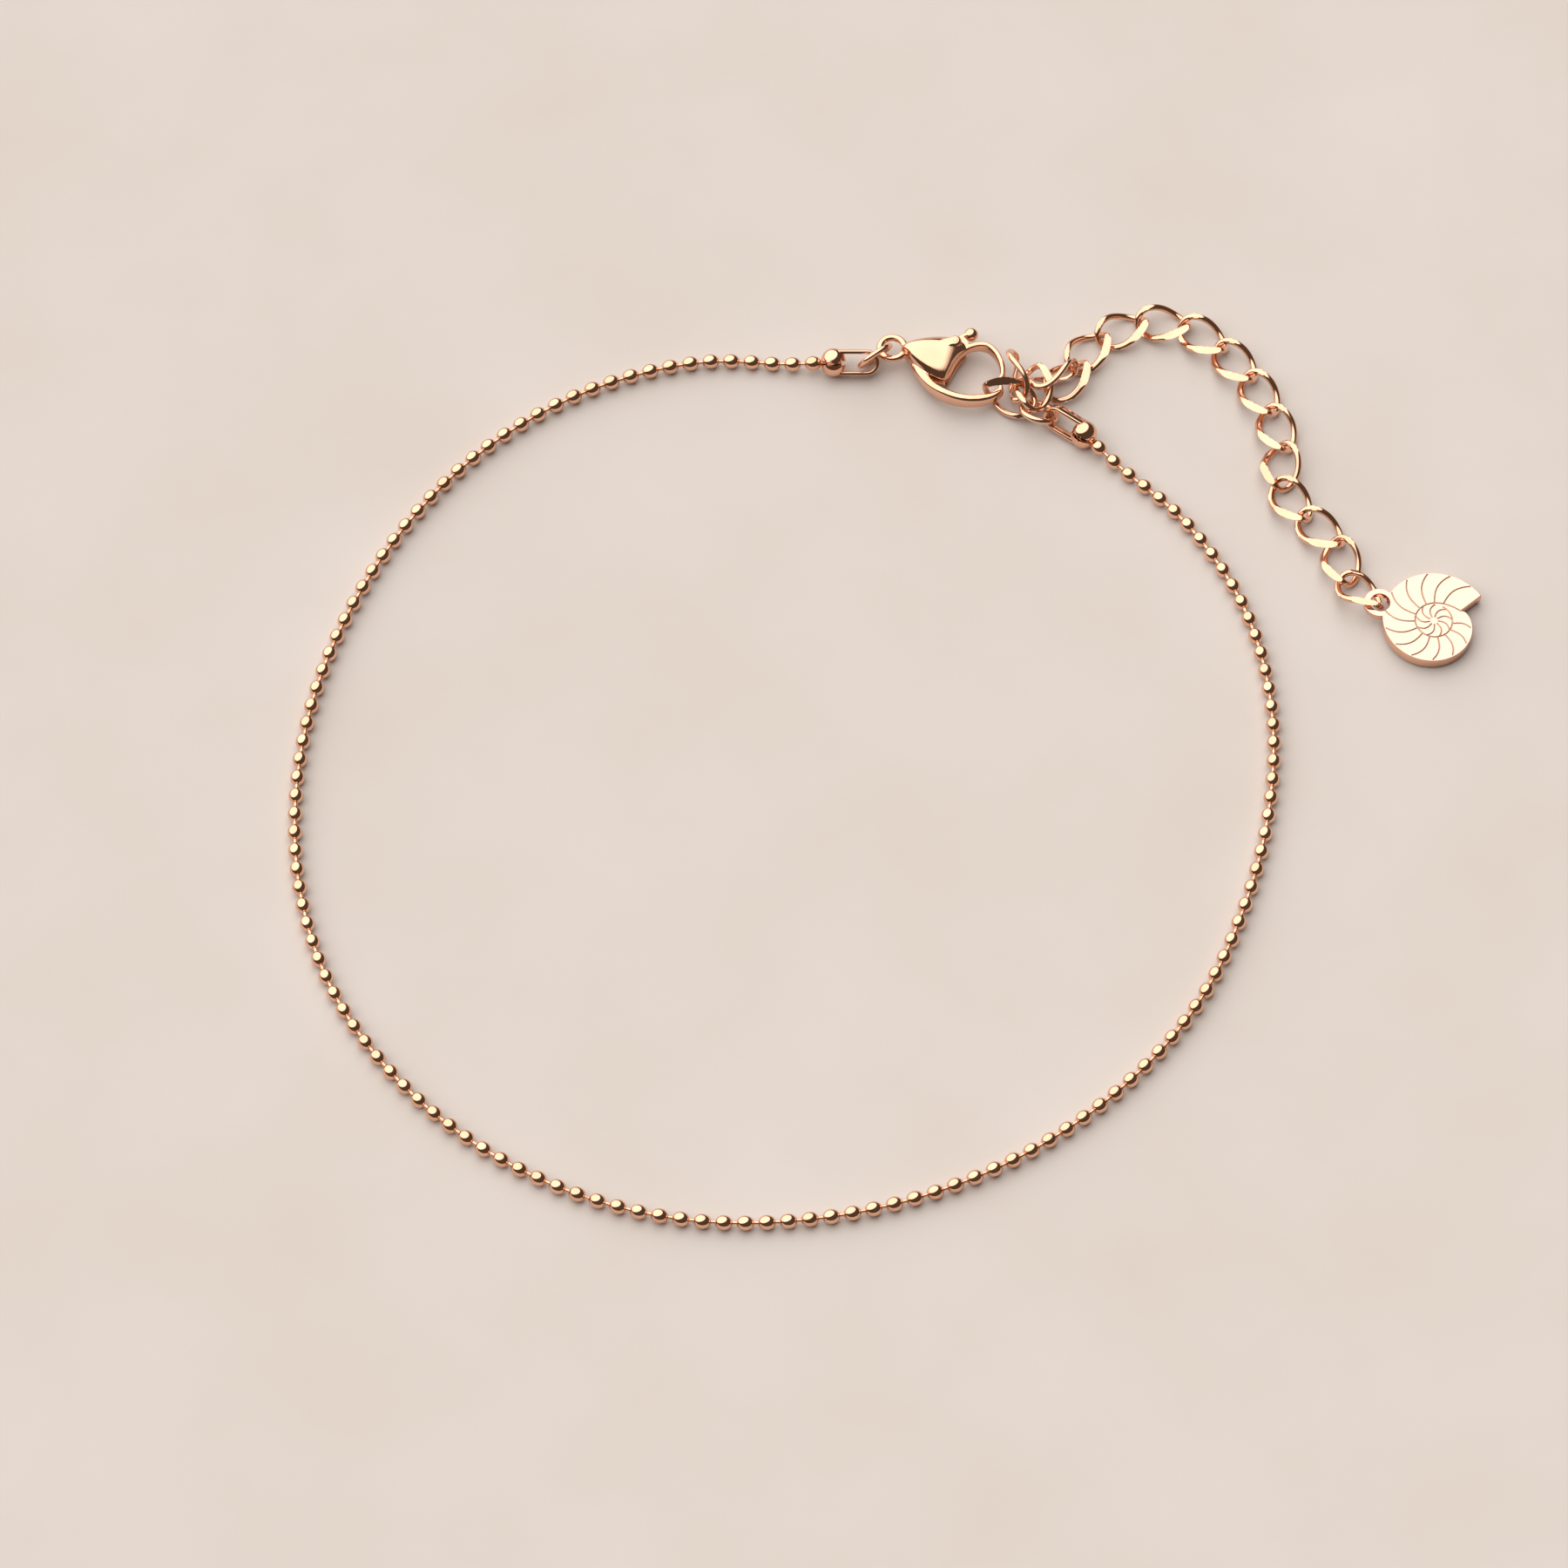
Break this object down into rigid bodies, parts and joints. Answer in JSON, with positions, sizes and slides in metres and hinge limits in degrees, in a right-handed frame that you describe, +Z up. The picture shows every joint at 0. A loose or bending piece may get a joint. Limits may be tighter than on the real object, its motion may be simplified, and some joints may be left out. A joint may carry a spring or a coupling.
{
  "type": "ball chain anklet",
  "caption": "Ball chain anklet with a lobster clasp, a curb extender chain and a flat shell charm, lying fastened.",
  "frame": {"origin": "centre of the outline seen from above, on the surface that the anklet lies on", "axes": "+Z up, +Y from the foot of the loop to the clasp, +X to the side where the extender and the charm lie"},
  "size_m": [0.0922, 0.0818, 0.0033],
  "materials": {
    "rose_gold": "polished",
    "bright_gold": "mirror polished"
  },
  "bodies": {
    "anklet": {"ball_chain_right": "rose_gold", "ball_chain_left": "rose_gold", "end_cup_right": "rose_gold", "end_cup_left": "rose_gold", "end_ring": "rose_gold", "clasp_ring": "rose_gold", "extender_link_01": "rose_gold", "extender_link_02": "rose_gold", "extender_link_03": "rose_gold", "extender_link_04": "rose_gold", "extender_link_05": "rose_gold", "extender_link_06": "rose_gold", "extender_link_07": "rose_gold", "extender_link_08": "rose_gold", "extender_link_09": "rose_gold", "extender_link_10": "rose_gold", "extender_link_11": "rose_gold", "extender_link_12": "rose_gold", "extender_link_13": "rose_gold", "extender_link_14": "rose_gold", "extender_link_15": "rose_gold", "extender_link_16": "rose_gold", "charm_link": "rose_gold", "clasp_body": "rose_gold", "lever_pin": "rose_gold", "charm": "bright_gold"},
    "lever": {"clasp_lever": "rose_gold"}
  },
  "joints": [
    {"name": "clasp_lever_hinge", "type": "hinge", "parent": "anklet", "child": "lever", "pos_m": [0.00547, 0.0368, 0.0013], "axis": [0, 0, -1], "range_deg": [0, 8], "stiffness_Nm_per_rad": 0.0001, "springref_deg": -20.05}
  ]
}
